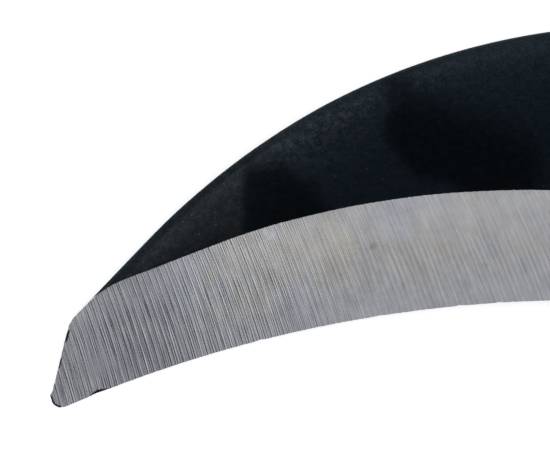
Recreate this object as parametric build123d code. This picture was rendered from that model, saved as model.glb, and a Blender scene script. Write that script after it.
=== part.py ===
from build123d import *
import os
from math import asin, atan2, cos, degrees, hypot, radians, sin, sqrt, tan

# A right-handed hand sickle: a crescent blade ground on one face, whose tang sits in a slotted hardwood
# handle, locked by a wooden strip, a steel ferrule, a rivet and a nail.
#
# The sickle lies on a table with its ground face up. +X runs from the blade's tip to the handle's side,
# +Y runs from the handle's butt to the blade, and +Z is up. The origin is at the bottom centre of the
# whole sickle's box. While it is drawn, x = 0 is near the middle of the blade, y = 0 is the top of the
# cutting edge's arc, and z = 0 is the middle of the handle's thickness. All sizes are in millimetres.

# Blade outline. Each long curve is one arc, given by its radius and the x of its centre.
EDGE_RADIUS = 218.0
EDGE_CENTRE_X = -2.9
SPINE_RADIUS = 113.7
SPINE_CENTRE_X = 7.55
BLADE_HEIGHT = 45.85  # from the top of the edge's arc to the top of the spine's arc
BEVEL_RADIUS = 155.5
BEVEL_CENTRE_X = -11.5
BEVEL_HEIGHT = 18.5  # from the top of the edge's arc to the top of the bevel line's arc
NOSE_TOP = (-88.4, -3.6)  # where the straight end of the spine meets the blunt nose
NOSE_BOTTOM_X = -92.3
NOSE_TOP_ROUND = 5.0
NOSE_BOTTOM_ROUND = 1.6

# Blade section
BLADE_THICK = 3.0
EDGE_THICK = 0.3
FORGED_ROUND = 0.4  # the rounding all round the forging's two faces
GROUND_PAST_HEEL = 4.0

# Neck and throat
NECK_SLOPE = 27.4  # degrees by which the back of the neck falls towards the handle
NECK_BEND_RADIUS = 30.0
NECK_THICK = 5.0
NECK_SWELL = (71.0, 91.0)  # from the x of the blade's thickness to the x of the neck's thickness
THROAT_RADIUS = 11.0
HEEL_X = 75.0
THROAT_Y = -8.5
HEEL_ROUND = 1.2

# Tang
TANG_BACK_X = 109.0
TANG_FRONT_X = HEEL_X + 2 * THROAT_RADIUS
TANG_END_FRONT_X = 101.0
TANG_END_Y = -90.0
TANG_END_THICK = 3.2
HOOK_REACH = 5.0
HOOK_RISE = 6.0
HOOK_FOOT = 3.0  # how far the hook stands out at the tang's end

# Handle
AXIS_X = 105.0
HANDLE_THICK = 22.0
HEAD_Y = -24.0
SHOULDER_Y = -56.0
WAIST_Y = -200.0
SWELL_Y = -352.0
BUTT_Y = -384.0
SHOULDER_WIDTH = 30.0
WAIST_WIDTH = 27.0
SWELL_WIDTH = 33.0
BUTT_BOW = 3.0
BUTT_CORNER = 12.0
HANDLE_ROUND = 8.5
SHOULDER_ROUND = 1.0
HEAD_CHAMFER = 0.8

# Ferrule
FERRULE_WIDTH = 27.0
FERRULE_THICK = 19.6
FERRULE_WALL = 1.2
FERRULE_ROUND = 8.0
FERRULE_TOP_GAP = 1.5  # how far the wood stands out of the ferrule's mouth
FERRULE_LIP = 0.4

# Tang slot and its wooden locking strip
SLOT_CLEARANCE = 0.1

# Fasteners
RIVET_Y = -40.0
RIVET_X = 103.4
RIVET_RADIUS = 2.0
RIVET_HEAD_RADIUS = 3.4
RIVET_HEAD_HEIGHT = 1.0
NAIL_Y = -48.0
NAIL_RADIUS = 0.8
NAIL_HEAD_RADIUS = 1.8
NAIL_HEAD_HEIGHT = 0.7
NAIL_LENGTH = 7.5
NAIL_POINT = 1.8
FIT_GAP = 0.05

# Hanging hole
HANG_Y = -364.0
HANG_RADIUS = 3.5
HANG_CHAMFER = 0.8

FAR = 400.0  # longer than any sub-part
OVERRUN = 20.0  # how far a cutting shape runs on past what it cuts


def arc_height(x, centre_x, radius, top):
    """The y of an arc at x, for an arc whose highest point is at y = top."""
    return top - radius + sqrt(radius**2 - (x - centre_x) ** 2)


def tangent_point(point, centre, radius):
    """Where the line from a point touches a circle on its upper side."""
    dx, dy = centre[0] - point[0], centre[1] - point[1]
    reach = hypot(dx, dy)
    length = sqrt(reach**2 - radius**2)
    angle = atan2(dy, dx) + asin(radius / reach)
    return point[0] + length * cos(angle), point[1] + length * sin(angle)


def slab(outline, low, high):
    """A solid from an outline in the XY plane, from z = low to z = high."""
    return extrude(outline, high - low).moved(Location((0, 0, low)))


def blade_outline():
    """The whole forging from above: blade, neck, throat, tang and hook."""
    spine_centre = (SPINE_CENTRE_X, BLADE_HEIGHT - SPINE_RADIUS)
    slope = radians(NECK_SLOPE)
    spine_start = tangent_point(NOSE_TOP, spine_centre, SPINE_RADIUS)
    spine_top = (SPINE_CENTRE_X, BLADE_HEIGHT)
    spine_end = (
        spine_centre[0] + SPINE_RADIUS * sin(slope),
        spine_centre[1] + SPINE_RADIUS * cos(slope),
    )
    bend_start_x = TANG_BACK_X - NECK_BEND_RADIUS * (1 - sin(slope))
    bend_start = (bend_start_x, spine_end[1] - (bend_start_x - spine_end[0]) * tan(slope))
    bend_end = (TANG_BACK_X, bend_start[1] - NECK_BEND_RADIUS * cos(slope))

    def edge_point(x):
        return x, arc_height(x, EDGE_CENTRE_X, EDGE_RADIUS, 0)

    nose_bottom = edge_point(NOSE_BOTTOM_X)
    heel = edge_point(HEEL_X)
    hook_y = TANG_END_Y + HOOK_RISE
    hook_point = (TANG_BACK_X + HOOK_REACH, TANG_END_Y + HOOK_RISE / 2)
    hook_foot = (TANG_BACK_X + HOOK_FOOT, TANG_END_Y)
    lines = [
        Line(NOSE_TOP, spine_start),
        ThreePointArc(spine_start, spine_top, spine_end),
        Line(spine_end, bend_start),
        TangentArc(bend_start, bend_end, tangent=(cos(slope), -sin(slope))),
        Line(bend_end, (TANG_BACK_X, hook_y)),
        Line((TANG_BACK_X, hook_y), hook_point),
        Line(hook_point, hook_foot),
        Line(hook_foot, (TANG_END_FRONT_X, TANG_END_Y)),
        Line((TANG_END_FRONT_X, TANG_END_Y), (TANG_FRONT_X, HEAD_Y)),
        Line((TANG_FRONT_X, HEAD_Y), (TANG_FRONT_X, THROAT_Y)),
        ThreePointArc(
            (TANG_FRONT_X, THROAT_Y),
            (HEEL_X + THROAT_RADIUS, THROAT_Y + THROAT_RADIUS),
            (HEEL_X, THROAT_Y),
        ),
        Line((HEEL_X, THROAT_Y), heel),
        ThreePointArc(heel, edge_point(0), nose_bottom),
        Line(nose_bottom, NOSE_TOP),
    ]
    outline = make_face(lines)
    for corner, radius in (
        (NOSE_TOP, NOSE_TOP_ROUND),
        (nose_bottom, NOSE_BOTTOM_ROUND),
        (heel, HEEL_ROUND),
    ):
        nearest = outline.vertices().sort_by_distance((corner[0], corner[1], 0))[0]
        outline = fillet(nearest, radius)
    return outline


def swell_solid():
    """How thick the forging is along X: the blade's thickness, swelling into the neck's."""
    start, end = NECK_SWELL
    thin, thick = BLADE_THICK / 2, NECK_THICK / 2
    upper = Spline((start, thin), (end, thick), tangents=[(1, 0), (1, 0)])
    lower = Spline((end, -thick), (start, -thin), tangents=[(-1, 0), (-1, 0)])
    lines = [
        Line((-FAR, thin), (start, thin)),
        upper,
        Line((end, thick), (FAR, thick)),
        Line((FAR, thick), (FAR, -thick)),
        Line((FAR, -thick), (end, -thick)),
        lower,
        Line((start, -thin), (-FAR, -thin)),
        Line((-FAR, -thin), (-FAR, thin)),
    ]
    return extrude(Plane.XZ.offset(-FAR / 2) * make_face(lines), FAR)


def taper_solid(extra=0.0):
    """How thick the tang is along Y: the neck's thickness at the head, tapering to its end."""
    thick, thin = NECK_THICK / 2 + extra, TANG_END_THICK / 2 + extra
    upper = [(FAR, thick), (HEAD_Y, thick), (TANG_END_Y, thin), (-FAR, thin)]
    lower = [(y, -z) for y, z in reversed(upper)]
    profile = upper + lower
    return extrude(Plane.YZ.offset(-FAR / 2) * make_face(Polyline(*profile, close=True)), FAR)


def grinding_cone():
    """What grinding takes away: a slanted cone whose sides join the bevel line to the cutting edge."""
    edge_z, line_z = EDGE_THICK - BLADE_THICK / 2, BLADE_THICK / 2
    below, above = -0.2, 1.3  # where the cone starts and ends, the edge being 0 and the bevel line 1

    def ring(part):
        centre_x = EDGE_CENTRE_X + part * (BEVEL_CENTRE_X - EDGE_CENTRE_X)
        radius = EDGE_RADIUS + part * (BEVEL_RADIUS - EDGE_RADIUS)
        top = part * BEVEL_HEIGHT
        return Pos(centre_x, top - radius, edge_z + part * (line_z - edge_z)) * Circle(radius)

    cone = loft([ring(below), ring(above)])
    ground = Pos(HEEL_X + GROUND_PAST_HEEL - FAR / 2, 0, 0) * Box(FAR, FAR, FAR)
    return cone & ground


def is_outline_edge(edge):
    """True for the edges that run round the forging's two faces, not for its corners or its swell lines."""
    box = edge.bounding_box()
    is_corner = box.size.X < 0.01 and box.size.Y < 0.01
    is_swell_line = box.size.X < 0.01 and min(abs(box.min.X - x) for x in NECK_SWELL) < 0.01
    return not is_corner and not is_swell_line


def blade_flat():
    """The blade, neck and tang before they are set in the handle."""
    forging = slab(blade_outline(), -NECK_THICK, NECK_THICK) & swell_solid()
    forging = fillet(forging.edges().filter_by(is_outline_edge), FORGED_ROUND)
    return (forging & taper_solid()) - grinding_cone()


def cant_angle(blade):
    """The tilt of the blade about the handle's axis that brings its tip down to the table, in degrees."""
    reach = AXIS_X - (blade.bounding_box().min.X + FORGED_ROUND)
    depth = BLADE_THICK / 2 - FORGED_ROUND
    drop = HANDLE_THICK / 2 - FORGED_ROUND
    return degrees(asin(drop / hypot(reach, depth)) - atan2(depth, reach))


def canted(shape, angle):
    """A shape turned about the handle's axis, as the blade is."""
    return shape.rotate(Axis((AXIS_X, 0, 0), (0, 1, 0)), -angle)


def bar(width, thick, corner, top_y, bottom_y):
    """A rounded bar about the handle's axis, from y = top_y down to y = bottom_y."""
    section = Plane.XZ.offset(-top_y) * Pos(AXIS_X, 0) * RectangleRounded(width, thick, corner)
    return extrude(section, top_y - bottom_y)


def handle_blank():
    """The handle before it is slotted and bored: an oval grip with a tenon for the ferrule."""
    run_on_y = SHOULDER_Y + OVERRUN
    side_y = BUTT_Y + BUTT_BOW

    def side(sign):
        stations = ((SHOULDER_WIDTH, SHOULDER_Y), (WAIST_WIDTH, WAIST_Y), (SWELL_WIDTH, SWELL_Y))
        points = [(AXIS_X + sign * width / 2, y) for width, y in stations]
        return points[0], Spline(*points, tangents=[(0, -1), (0, -1)]), points[-1]

    right_top, right, right_low = side(1)
    left_top, left, left_low = side(-1)
    right_end, left_end = (right_low[0], side_y), (left_low[0], side_y)
    lines = [
        Line((left_top[0], run_on_y), (right_top[0], run_on_y)),
        Line((right_top[0], run_on_y), right_top),
        right,
        Line(right_low, right_end),
        ThreePointArc(right_end, (AXIS_X, BUTT_Y), left_end),
        Line(left_end, left_low),
        left,
        Line(left_top, (left_top[0], run_on_y)),
    ]
    outline = make_face(lines)
    corners = [v for v in outline.vertices() if abs(v.Y - side_y) < 0.01]
    outline = fillet(corners, BUTT_CORNER)
    grip = slab(outline, -HANDLE_THICK / 2, HANDLE_THICK / 2)
    faces = grip.faces().sort_by(Axis.Z)
    rims = [e for face in (faces[0], faces[-1]) for e in face.edges() if e.center().Y < run_on_y - 0.01]
    grip = fillet(rims, HANDLE_ROUND)
    grip = grip & Pos(AXIS_X, SHOULDER_Y - FAR / 2, 0) * Box(FAR, FAR, FAR)
    shoulder = [e for e in grip.edges() if abs(e.center().Y - SHOULDER_Y) < 0.01]
    grip = fillet(shoulder, SHOULDER_ROUND)
    inset = 2 * (FERRULE_WALL + FIT_GAP)
    tenon = bar(
        FERRULE_WIDTH - inset,
        FERRULE_THICK - inset,
        FERRULE_ROUND - inset / 2,
        HEAD_Y,
        SHOULDER_Y - 1,
    )
    head = tenon.faces().sort_by(Axis.Y)[-1]
    return grip + chamfer(head.edges(), HEAD_CHAMFER)


def slot_void(angle):
    """The slot for the tang and its strip: sawn in from the handle's head and its front side."""
    front_x, over_y = AXIS_X - SWELL_WIDTH, HEAD_Y + OVERRUN
    corners = [
        (front_x, over_y),
        (TANG_BACK_X, over_y),
        (TANG_BACK_X, TANG_END_Y + HOOK_RISE),
        (TANG_BACK_X + HOOK_REACH, TANG_END_Y + HOOK_RISE / 2),
        (TANG_BACK_X + HOOK_FOOT, TANG_END_Y),
        (front_x, TANG_END_Y),
    ]
    outline = offset(make_face(Polyline(*corners, close=True)), SLOT_CLEARANCE, kind=Kind.INTERSECTION)
    return canted(slab(outline, -NECK_THICK, NECK_THICK) & taper_solid(SLOT_CLEARANCE), angle)


def strip_room(angle):
    """The part of the slot in front of the tang, which the strip fills."""
    front_x, over_y = AXIS_X - SWELL_WIDTH, HEAD_Y + OVERRUN
    corners = [
        (front_x, over_y),
        (TANG_FRONT_X - FIT_GAP, over_y),
        (TANG_FRONT_X - FIT_GAP, HEAD_Y),
        (TANG_END_FRONT_X - FIT_GAP, TANG_END_Y),
        (front_x, TANG_END_Y),
    ]
    outline = make_face(Polyline(*corners, close=True))
    room = slab(outline, -NECK_THICK, NECK_THICK) & taper_solid(SLOT_CLEARANCE - FIT_GAP)
    return canted(room, angle)


def rivet_bore():
    """The hole through ferrule, wood and tang for the rivet."""
    return Pos(RIVET_X, RIVET_Y, 0) * Cylinder(RIVET_RADIUS + FIT_GAP, HANDLE_THICK)


def nail_bore():
    """The hole through the ferrule's back side and into the wood for the nail."""
    seat_x = AXIS_X + FERRULE_WIDTH / 2
    length = NAIL_LENGTH + FIT_GAP
    bore = Rot(0, 90, 0) * Cylinder(NAIL_RADIUS + FIT_GAP, length + 1)
    return Pos(seat_x - length / 2 + 0.5, NAIL_Y, 0) * bore


def handle(blank, angle):
    """The slotted, bored and drilled handle."""
    hang = Pos(AXIS_X, HANG_Y, 0) * Cylinder(HANG_RADIUS, HANDLE_THICK + 2)
    wood = blank - slot_void(angle) - rivet_bore() - nail_bore() - hang
    rims = [
        e
        for e in wood.edges().filter_by(GeomType.CIRCLE)
        if abs(abs(e.center().Z) - HANDLE_THICK / 2) < 0.01 and abs(e.center().Y - HANG_Y) < 0.01
    ]
    return chamfer(rims, HANG_CHAMFER)


def ferrule():
    """The steel band round the tenon."""
    top_y = HEAD_Y - FERRULE_TOP_GAP
    inset = 2 * FERRULE_WALL
    band = bar(FERRULE_WIDTH, FERRULE_THICK, FERRULE_ROUND, top_y, SHOULDER_Y)
    ends = band.faces().sort_by(Axis.Y)
    band = fillet(ends[0].edges() + ends[-1].edges(), FERRULE_LIP)
    inside = bar(
        FERRULE_WIDTH - inset,
        FERRULE_THICK - inset,
        FERRULE_ROUND - FERRULE_WALL,
        top_y + 1,
        SHOULDER_Y - 1,
    )
    return band - inside - rivet_bore() - nail_bore()


def tang_rivet():
    """A steel rivet with a low domed head on each side of the ferrule."""
    seat = FERRULE_THICK / 2
    crown = seat + RIVET_HEAD_HEIGHT
    rise = (RIVET_HEAD_RADIUS**2 + RIVET_HEAD_HEIGHT**2) / (2 * RIVET_HEAD_HEIGHT)
    dome_z = crown - rise
    half_x = RIVET_HEAD_RADIUS / 2
    half_z = dome_z + sqrt(rise**2 - half_x**2)
    lines = [
        Line((0, -crown), (0, crown)),
        ThreePointArc((0, crown), (half_x, half_z), (RIVET_HEAD_RADIUS, seat)),
        Line((RIVET_HEAD_RADIUS, seat), (RIVET_RADIUS, seat)),
        Line((RIVET_RADIUS, seat), (RIVET_RADIUS, -seat)),
        Line((RIVET_RADIUS, -seat), (RIVET_HEAD_RADIUS, -seat)),
        ThreePointArc((RIVET_HEAD_RADIUS, -seat), (half_x, -half_z), (0, -crown)),
    ]
    section = Plane.XZ * make_face(lines)
    return Pos(RIVET_X, RIVET_Y, 0) * revolve(section, Axis.Z)


def ferrule_nail():
    """A short round-headed nail driven through the ferrule into the wood behind the tang."""
    rise = (NAIL_HEAD_RADIUS**2 + NAIL_HEAD_HEIGHT**2) / (2 * NAIL_HEAD_HEIGHT)
    half_x = NAIL_HEAD_RADIUS / 2
    half_z = NAIL_HEAD_HEIGHT - rise + sqrt(rise**2 - half_x**2)
    lines = [
        Line((0, -NAIL_LENGTH), (0, NAIL_HEAD_HEIGHT)),
        ThreePointArc((0, NAIL_HEAD_HEIGHT), (half_x, half_z), (NAIL_HEAD_RADIUS, 0)),
        Line((NAIL_HEAD_RADIUS, 0), (NAIL_RADIUS, 0)),
        Line((NAIL_RADIUS, 0), (NAIL_RADIUS, NAIL_POINT - NAIL_LENGTH)),
        Line((NAIL_RADIUS, NAIL_POINT - NAIL_LENGTH), (0, -NAIL_LENGTH)),
    ]
    section = Plane.XZ * make_face(lines)
    nail = Rot(0, 90, 0) * revolve(section, Axis.Z)
    return Pos(AXIS_X + FERRULE_WIDTH / 2, NAIL_Y, 0) * nail


def build():
    """Every sub-part by name, in the finished sickle's frame."""
    flat = blade_flat()
    angle = cant_angle(flat)
    blank = handle_blank()
    parts = {
        "blade": canted(flat, angle) - rivet_bore(),
        "handle": handle(blank, angle),
        "ferrule": ferrule(),
        "tang_strip": blank & strip_room(angle),
        "tang_rivet": tang_rivet(),
        "ferrule_nail": ferrule_nail(),
    }
    box = Compound(children=list(parts.values())).bounding_box()
    origin = Location((-(box.min.X + box.max.X) / 2, -(box.min.Y + box.max.Y) / 2, -box.min.Z))
    return {name: shape.moved(origin) for name, shape in parts.items()}


if __name__ == "__main__":
    os.makedirs("parts", exist_ok=True)
    for name, shape in build().items():
        solids = shape.solids()
        if len(solids) != 1:
            raise SystemExit(name + " has " + str(len(solids)) + " solids")
        export_step(solids[0], "parts/" + name + ".step")
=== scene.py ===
import random
from math import asin, atan2, cos, degrees, hypot, pi, radians, sin, sqrt

import bmesh
import bpy
import numpy as np
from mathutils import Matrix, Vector, noise
from mathutils.geometry import delaunay_2d_cdt


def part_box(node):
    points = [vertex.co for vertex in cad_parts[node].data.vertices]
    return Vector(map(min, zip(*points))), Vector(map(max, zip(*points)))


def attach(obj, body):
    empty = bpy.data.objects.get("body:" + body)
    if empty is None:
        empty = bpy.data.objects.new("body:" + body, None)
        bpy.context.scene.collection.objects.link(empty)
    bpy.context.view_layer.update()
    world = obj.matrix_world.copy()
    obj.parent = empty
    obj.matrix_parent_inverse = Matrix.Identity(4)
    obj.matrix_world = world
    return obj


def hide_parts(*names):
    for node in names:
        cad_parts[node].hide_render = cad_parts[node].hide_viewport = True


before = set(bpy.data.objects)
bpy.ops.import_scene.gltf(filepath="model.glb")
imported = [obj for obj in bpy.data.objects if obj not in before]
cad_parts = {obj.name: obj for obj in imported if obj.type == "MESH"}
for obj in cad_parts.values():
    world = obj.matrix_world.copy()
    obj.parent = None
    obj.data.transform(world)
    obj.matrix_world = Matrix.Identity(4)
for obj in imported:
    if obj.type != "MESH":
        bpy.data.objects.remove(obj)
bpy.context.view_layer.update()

# A hand sickle lying on a table with its ground face up. Shapes are worked out in millimetres in the
# smith's own drawing: x = 0 near the middle of the blade, y = 0 at the top of the cutting edge's arc and
# z = 0 in the middle of the handle's thickness. to_row() turns a drawn point into the row's metres.

MM = 0.001

# The forging, as in the CAD model
EDGE_RADIUS, EDGE_CENTRE_X = 218.0, -2.9
SPINE_RADIUS, SPINE_CENTRE_X, BLADE_HEIGHT = 113.7, 7.55, 45.85
BEVEL_RADIUS, BEVEL_CENTRE_X, BEVEL_HEIGHT = 155.5, -11.5, 18.5
EDGE_ARC = (EDGE_CENTRE_X, EDGE_RADIUS, 0)  # an arc's centre along x, its radius and the y of its top
SPINE_ARC = (SPINE_CENTRE_X, SPINE_RADIUS, BLADE_HEIGHT)
BEVEL_ARC = (BEVEL_CENTRE_X, BEVEL_RADIUS, BEVEL_HEIGHT)
NOSE_TOP, NOSE_BOTTOM_X = (-88.4, -3.6), -92.3
NOSE_TOP_ROUND, NOSE_BOTTOM_ROUND, HEEL_ROUND = 5.0, 1.6, 1.2
BLADE_HALF, NECK_HALF, TANG_END_HALF = 1.5, 2.5, 1.6
EDGE_Z = -1.2  # the height of the ground face at the cutting edge
NECK_SLOPE, NECK_BEND_RADIUS, NECK_SWELL = 27.4, 30.0, (71.0, 91.0)
THROAT_RADIUS, HEEL_X, THROAT_Y = 11.0, 75.0, -8.5
TANG_BACK_X, TANG_FRONT_X, TANG_END_FRONT_X, TANG_END_Y = 109.0, 97.0, 101.0, -90.0
HOOK_REACH, HOOK_RISE, HOOK_FOOT = 5.0, 6.0, 3.0
FORGED_ROUND = 0.4

# The handle and its fittings, as in the CAD model
AXIS_X, HANDLE_HALF = 105.0, 11.0
HEAD_Y, SHOULDER_Y, BUTT_Y = -24.0, -56.0, -384.0
HANG_Y, HANG_RADIUS = -364.0, 3.5
FERRULE_HALF = (13.5, 9.8)  # half its width and half its thickness
RIVET_X, RIVET_Y, RIVET_RADIUS, RIVET_HEAD_RADIUS = 103.4, -40.0, 2.0, 3.4
NAIL_Y, NAIL_HEAD_RADIUS = -48.0, 1.8

# The blade is tilted about the handle's axis until its tip touches the table.
TIP_X = -91.55
tip_reach, tip_depth = AXIS_X - TIP_X - FORGED_ROUND, BLADE_HALF - FORGED_ROUND
CANT = asin((HANDLE_HALF - FORGED_ROUND) / hypot(tip_reach, tip_depth)) - atan2(tip_depth, tip_reach)

# Where the drawing's origin is in the row, in millimetres
handle_low, handle_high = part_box("handle")
handle_middle = (handle_low[0] + handle_high[0]) / 2
ORIGIN = Vector((handle_middle / MM - AXIS_X, handle_low[1] / MM - BUTT_Y, HANDLE_HALF))


def to_row(point, cant=0.0):
    """A drawn point in the row's frame, in metres, turned about the handle's axis by the cant."""
    x, y, z = point[0] - AXIS_X, point[1], point[2]
    turned = Vector((x * cos(cant) - z * sin(cant) + AXIS_X, y, x * sin(cant) + z * cos(cant)))
    return (turned + ORIGIN) * MM


# ---------------- outline of the forging


def arc(centre, radius, start, end, step):
    """Points along an arc from one angle to another, in degrees, both ends included."""
    count = max(2, int(abs(radians(end - start)) * radius / step) + 1)
    angles = [radians(start + (end - start) * i / count) for i in range(count + 1)]
    return [(centre[0] + radius * cos(a), centre[1] + radius * sin(a)) for a in angles]


def angle_of(point, centre):
    """The angle of a point about a centre, in degrees."""
    return degrees(atan2(point[1] - centre[1], point[0] - centre[0]))


def line(start, end, step):
    """Points along a straight line, both ends included."""
    count = max(1, int(hypot(end[0] - start[0], end[1] - start[1]) / step))
    return [
        (start[0] + (end[0] - start[0]) * i / count, start[1] + (end[1] - start[1]) * i / count)
        for i in range(count + 1)
    ]


def rounded(before, corner, after, radius, step):
    """A corner between two nearly straight runs, as an arc that touches both."""
    a = Vector((before[0] - corner[0], before[1] - corner[1])).normalized()
    b = Vector((after[0] - corner[0], after[1] - corner[1])).normalized()
    half = a.angle(b) / 2
    centre = Vector(corner) + (a + b).normalized() * (radius / sin(half))
    reach = radius / np.tan(half)
    start, end = Vector(corner) + a * reach, Vector(corner) + b * reach
    first, last = angle_of(start, centre), angle_of(end, centre)
    last += 360 * round((first - last) / 360)
    return arc(centre, radius, first, last, step)


def arc_height(x, centre_x, radius, top):
    """The y of an arc at x, for an arc whose highest point is at y = top."""
    return top - radius + sqrt(radius**2 - (x - centre_x) ** 2)


def edge_point(x):
    """A point on the cutting edge."""
    return (x, arc_height(x, *EDGE_ARC))


def forging_outline(step):
    """The forging from above, anticlockwise from the nose's top, as a list of (x, y)."""
    spine_centre = (SPINE_CENTRE_X, BLADE_HEIGHT - SPINE_RADIUS)
    to_centre = Vector(spine_centre) - Vector(NOSE_TOP)
    reach = sqrt(to_centre.length**2 - SPINE_RADIUS**2)
    heading = atan2(to_centre[1], to_centre[0]) + asin(SPINE_RADIUS / to_centre.length)
    spine_start = (NOSE_TOP[0] + reach * cos(heading), NOSE_TOP[1] + reach * sin(heading))
    slope = radians(NECK_SLOPE)
    spine_end = (spine_centre[0] + SPINE_RADIUS * sin(slope), spine_centre[1] + SPINE_RADIUS * cos(slope))
    bend_x = TANG_BACK_X - NECK_BEND_RADIUS * (1 - sin(slope))
    bend_y = spine_end[1] - (bend_x - spine_end[0]) * np.tan(slope)
    bend_centre = (TANG_BACK_X - NECK_BEND_RADIUS, bend_y - NECK_BEND_RADIUS * cos(slope))
    edge_centre = (EDGE_CENTRE_X, -EDGE_RADIUS)
    nose_bottom, heel = edge_point(NOSE_BOTTOM_X), edge_point(HEEL_X)
    hook_y, tang_step = TANG_END_Y + HOOK_RISE, 1.5
    same = step * 0.3  # points nearer than this are one point
    nose_top_arc = rounded(nose_bottom, NOSE_TOP, spine_start, NOSE_TOP_ROUND, step)
    heel_arc = rounded((HEEL_X, THROAT_Y), heel, edge_point(HEEL_X - 1), HEEL_ROUND, step)
    nose_arc = rounded(edge_point(NOSE_BOTTOM_X + 1), nose_bottom, NOSE_TOP, NOSE_BOTTOM_ROUND, step)
    edge_start, edge_end = angle_of(heel_arc[-1], edge_centre), angle_of(nose_arc[0], edge_centre)
    runs = [
        nose_top_arc,
        line(nose_top_arc[-1], spine_start, step),
        arc(spine_centre, SPINE_RADIUS, angle_of(spine_start, spine_centre), 90 - NECK_SLOPE, step),
        line(spine_end, (bend_x, bend_y), step),
        arc(bend_centre, NECK_BEND_RADIUS, 90 - NECK_SLOPE, 0, step),
        line((TANG_BACK_X, bend_centre[1]), (TANG_BACK_X, HEAD_Y), step),
        line((TANG_BACK_X, HEAD_Y), (TANG_BACK_X, hook_y), tang_step),
        line((TANG_BACK_X, hook_y), (TANG_BACK_X + HOOK_REACH, TANG_END_Y + HOOK_RISE / 2), tang_step),
        [(TANG_BACK_X + HOOK_FOOT, TANG_END_Y)],
        line((TANG_END_FRONT_X, TANG_END_Y), (TANG_FRONT_X, HEAD_Y), tang_step),
        line((TANG_FRONT_X, HEAD_Y), (TANG_FRONT_X, THROAT_Y), step),
        arc((HEEL_X + THROAT_RADIUS, THROAT_Y), THROAT_RADIUS, 0, 180, step),
        line((HEEL_X, THROAT_Y), heel_arc[0], step),
        heel_arc,
        arc(edge_centre, EDGE_RADIUS, edge_start, edge_end, step),
        nose_arc,
        line(nose_arc[-1], nose_top_arc[0], step),
    ]
    points = []
    for run in runs:
        for p in run:
            if not points or hypot(p[0] - points[-1][0], p[1] - points[-1][1]) > same:
                points.append((p[0], p[1]))
    if hypot(points[0][0] - points[-1][0], points[0][1] - points[-1][1]) < same:
        points.pop()
    return np.array(points[::-1])


# ---------------- surface of the forging

# How finely the blade is meshed
STEP, BEVEL_LINE_STEP, HOLE_STEP = 0.35, 0.22, 0.5  # along the outline, the bevel line and the rivet's hole
RINGS = (0.04, 0.12, 0.25, FORGED_ROUND, 0.6)  # the depths of the rings of points inside the outline
GRID, ROW_SHARE = 1.3, 0.87  # the grid between them, and how far apart its rows are as a share of that
RING_GAP, LINE_GAP = 0.3, 0.4  # the grid's distance from the last ring and from every other line

# What grinding, a hand's unevenness and wear leave
BACK_STRIP, STRIP_ENDS = 3.2, (114.3, 69.2)  # the ground strip on the back: its width, its ends in degrees
LINE_START_X, LINE_PAST_HEEL = -86.5, 1.5  # where the bevel line starts and how far past the heel it ends
NOSE_ANGLE, NOSE_RUN_OUT = radians(116.4), 0.48  # where on the bevel line grinding ran widest, and how wide
NOSE_KNOB_Y, NOSE_KNOB = -15.9, 0.26  # where a burr stands out of the nose's wall, and how far
LIP_START, LIP_PEAK, LIP_END, LIP_WIDTH = -85.2, -83.9, -81.2, 0.52  # the unground lip beside the tip
HAMMERED = 0.16  # how uneven the hammer left the neck
FACE_DRIFT = 0.035  # how uneven the forged faces are elsewhere
LEAST_THICKNESS = 0.12
SHARP = radians(40)  # corners sharper than this are shaded crisp

# The black rims that grinding left on the nose's wall: from y, to y, and how deep
NOSE_RIMS = ((-6.9, -5.1, 0.42), (-11.4, -9.6, 0.26))
CORNER_RIM, BROKEN_RIM = 0.30, 0.13

# How far the bevel line and the spine bow from their arcs: x, and the bow there
LINE_BOW = (
    (-76, 0), (-70, -0.12), (-64, -0.11), (-54, 0.07), (-46, 0), (-30, -0.06), (-20, -0.14), (-16, -0.18),
)
SPINE_BOW = ((-86, 0), (-80, -0.04), (-74, -0.03), (-66, 0.08), (-56, 0.08), (-46, 0))

LACQUER, GROUND = 0, 1  # the blade's two finishes, as numbers of its material slots


def read_off(stops, x):
    """The level at x on a line through (x, level) stops."""
    return np.interp(x, *zip(*stops))


def above_arc(x, y, centre_x, radius, top):
    """How far points are outside an arc whose highest point is at y = top."""
    return np.hypot(x - centre_x, y - top + radius) - radius


def ease(t):
    """A smooth step from 0 to 1."""
    t = np.clip(t, 0, 1)
    return t * t * (3 - 2 * t)


def wander(points, size, seed, octaves=2):
    """Smooth noise between about -1 and 1 at each point, with features about size millimetres across."""
    return np.array(
        [
            sum(noise.noise(Vector((x / size, y / size, seed)) * 2**k) / 2**k for k in range(octaves))
            for x, y in points
        ]
    )


def forged_half(x, y):
    """Half the forging's thickness before grinding."""
    swell = ease((x - NECK_SWELL[0]) / (NECK_SWELL[1] - NECK_SWELL[0]))
    taper = np.clip((HEAD_Y - y) / (HEAD_Y - TANG_END_Y), 0, 1)
    swollen = BLADE_HALF + (NECK_HALF - BLADE_HALF) * swell
    tapered = NECK_HALF + (TANG_END_HALF - NECK_HALF) * taper
    return np.minimum(swollen, tapered)


def bevel_part(x, y):
    """How far up the bevel a point is: 0 at the cutting edge and 1 at the bevel line."""
    shift = (BEVEL_CENTRE_X - EDGE_CENTRE_X, BEVEL_HEIGHT - BEVEL_RADIUS + EDGE_RADIUS)
    growth = BEVEL_RADIUS - EDGE_RADIUS
    from_x, from_y = x - EDGE_CENTRE_X, y + EDGE_RADIUS
    a = shift[0] ** 2 + shift[1] ** 2 - growth**2
    b = from_x * shift[0] + from_y * shift[1] + EDGE_RADIUS * growth
    c = from_x**2 + from_y**2 - EDGE_RADIUS**2
    return (b - np.sqrt(np.maximum(b**2 - a * c, 0))) / a


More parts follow.
